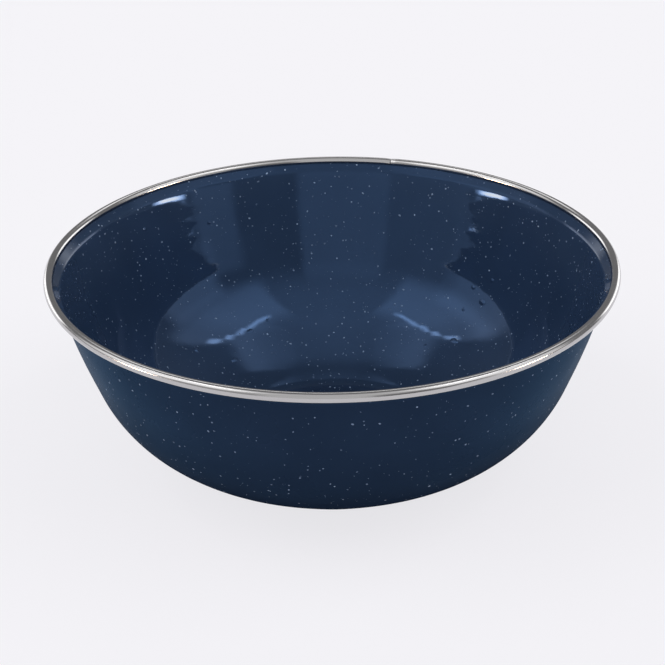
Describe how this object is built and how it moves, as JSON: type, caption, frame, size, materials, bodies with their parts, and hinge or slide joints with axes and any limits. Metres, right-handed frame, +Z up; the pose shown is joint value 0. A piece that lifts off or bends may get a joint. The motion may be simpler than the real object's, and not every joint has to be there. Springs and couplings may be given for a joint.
{
  "type": "basin bowl",
  "caption": "Round enamelled steel basin bowl with a flat base, a sloping wall, an outward lip and a rolled stainless rim band, for holding food or water.",
  "frame": {"origin": "centre of the flat base, on the table", "axes": "+Z up along the bowl's axis, -Y towards the viewer of the picture, +X to the right"},
  "size_m": [0.155, 0.155, 0.0597],
  "materials": {
    "pressed_steel": "dull pressed sheet under the enamel",
    "enamel_outside": "glossy dark blue fused enamel with fine white flecks",
    "enamel_inside": "glossy dark blue fused enamel with fine white flecks and small pimples",
    "stainless_band": "polished rolled stainless strip with faint scuffs"
  },
  "bodies": {
    "root": {"steel_body": "pressed_steel", "outer_enamel": "enamel_outside", "inner_enamel": "enamel_inside", "rim_band": "stainless_band"}
  },
  "joints": []
}
